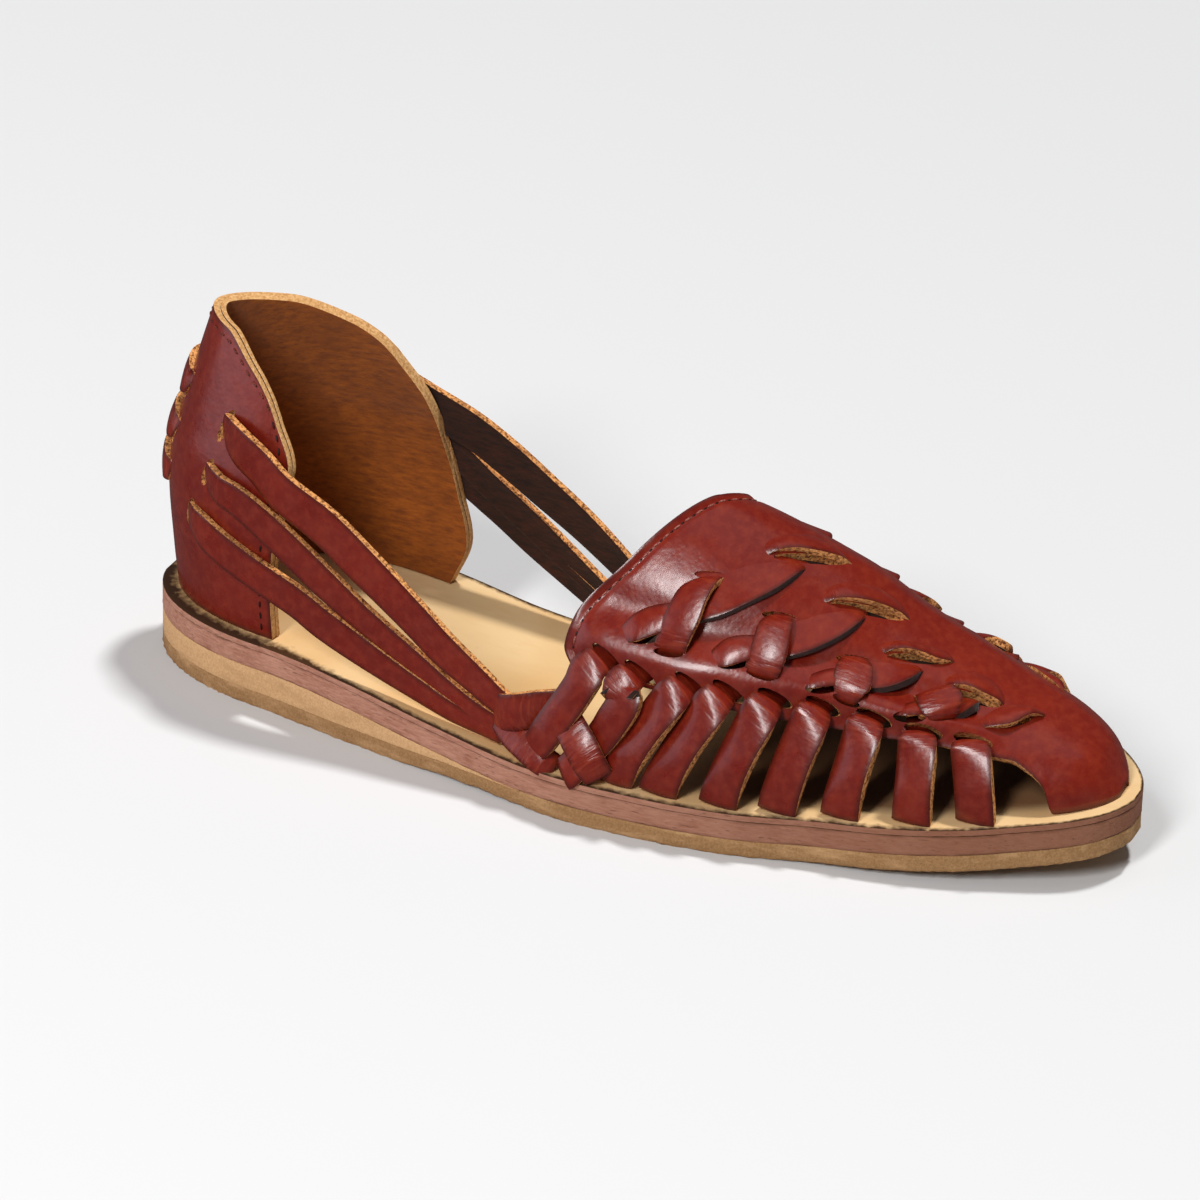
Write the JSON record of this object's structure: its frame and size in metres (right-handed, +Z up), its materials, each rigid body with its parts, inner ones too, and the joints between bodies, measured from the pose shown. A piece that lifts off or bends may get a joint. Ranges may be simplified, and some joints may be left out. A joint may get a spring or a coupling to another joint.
{
  "type": "huarache sandal",
  "caption": "Flat woven leather huarache sandal for the right foot, with an open throat, woven vamp, side thongs, tall heel counter and layered sole.",
  "frame": {"origin": "middle of the bounding box on the floor plane that the sole stands on", "axes": "+Y from heel to toe, +X to the wearer's right, the lateral side, +Z up"},
  "size_m": [0.0864, 0.256, 0.0926],
  "materials": {
    "outsole": "tan crepe rubber, matt",
    "heel_wedge": "tan rubber, matt",
    "midsole": "natural sole leather with a raw fibrous edge",
    "insole": "light tan vegetable-tanned leather, smooth",
    "upper_leather": "red-brown waxed grain leather, satin",
    "thong_leather": "red-brown waxed grain leather with raw tan edges"
  },
  "bodies": {
    "root": {"outsole": "outsole", "heel_wedge": "heel_wedge", "midsole": "midsole", "insole": "insole", "upper": "upper_leather", "heel_counter": "upper_leather", "side_straps_lateral": "thong_leather", "side_straps_medial": "thong_leather", "back_loop_top": "thong_leather", "back_loop_middle": "thong_leather", "back_loop_bottom": "thong_leather"}
  },
  "joints": []
}
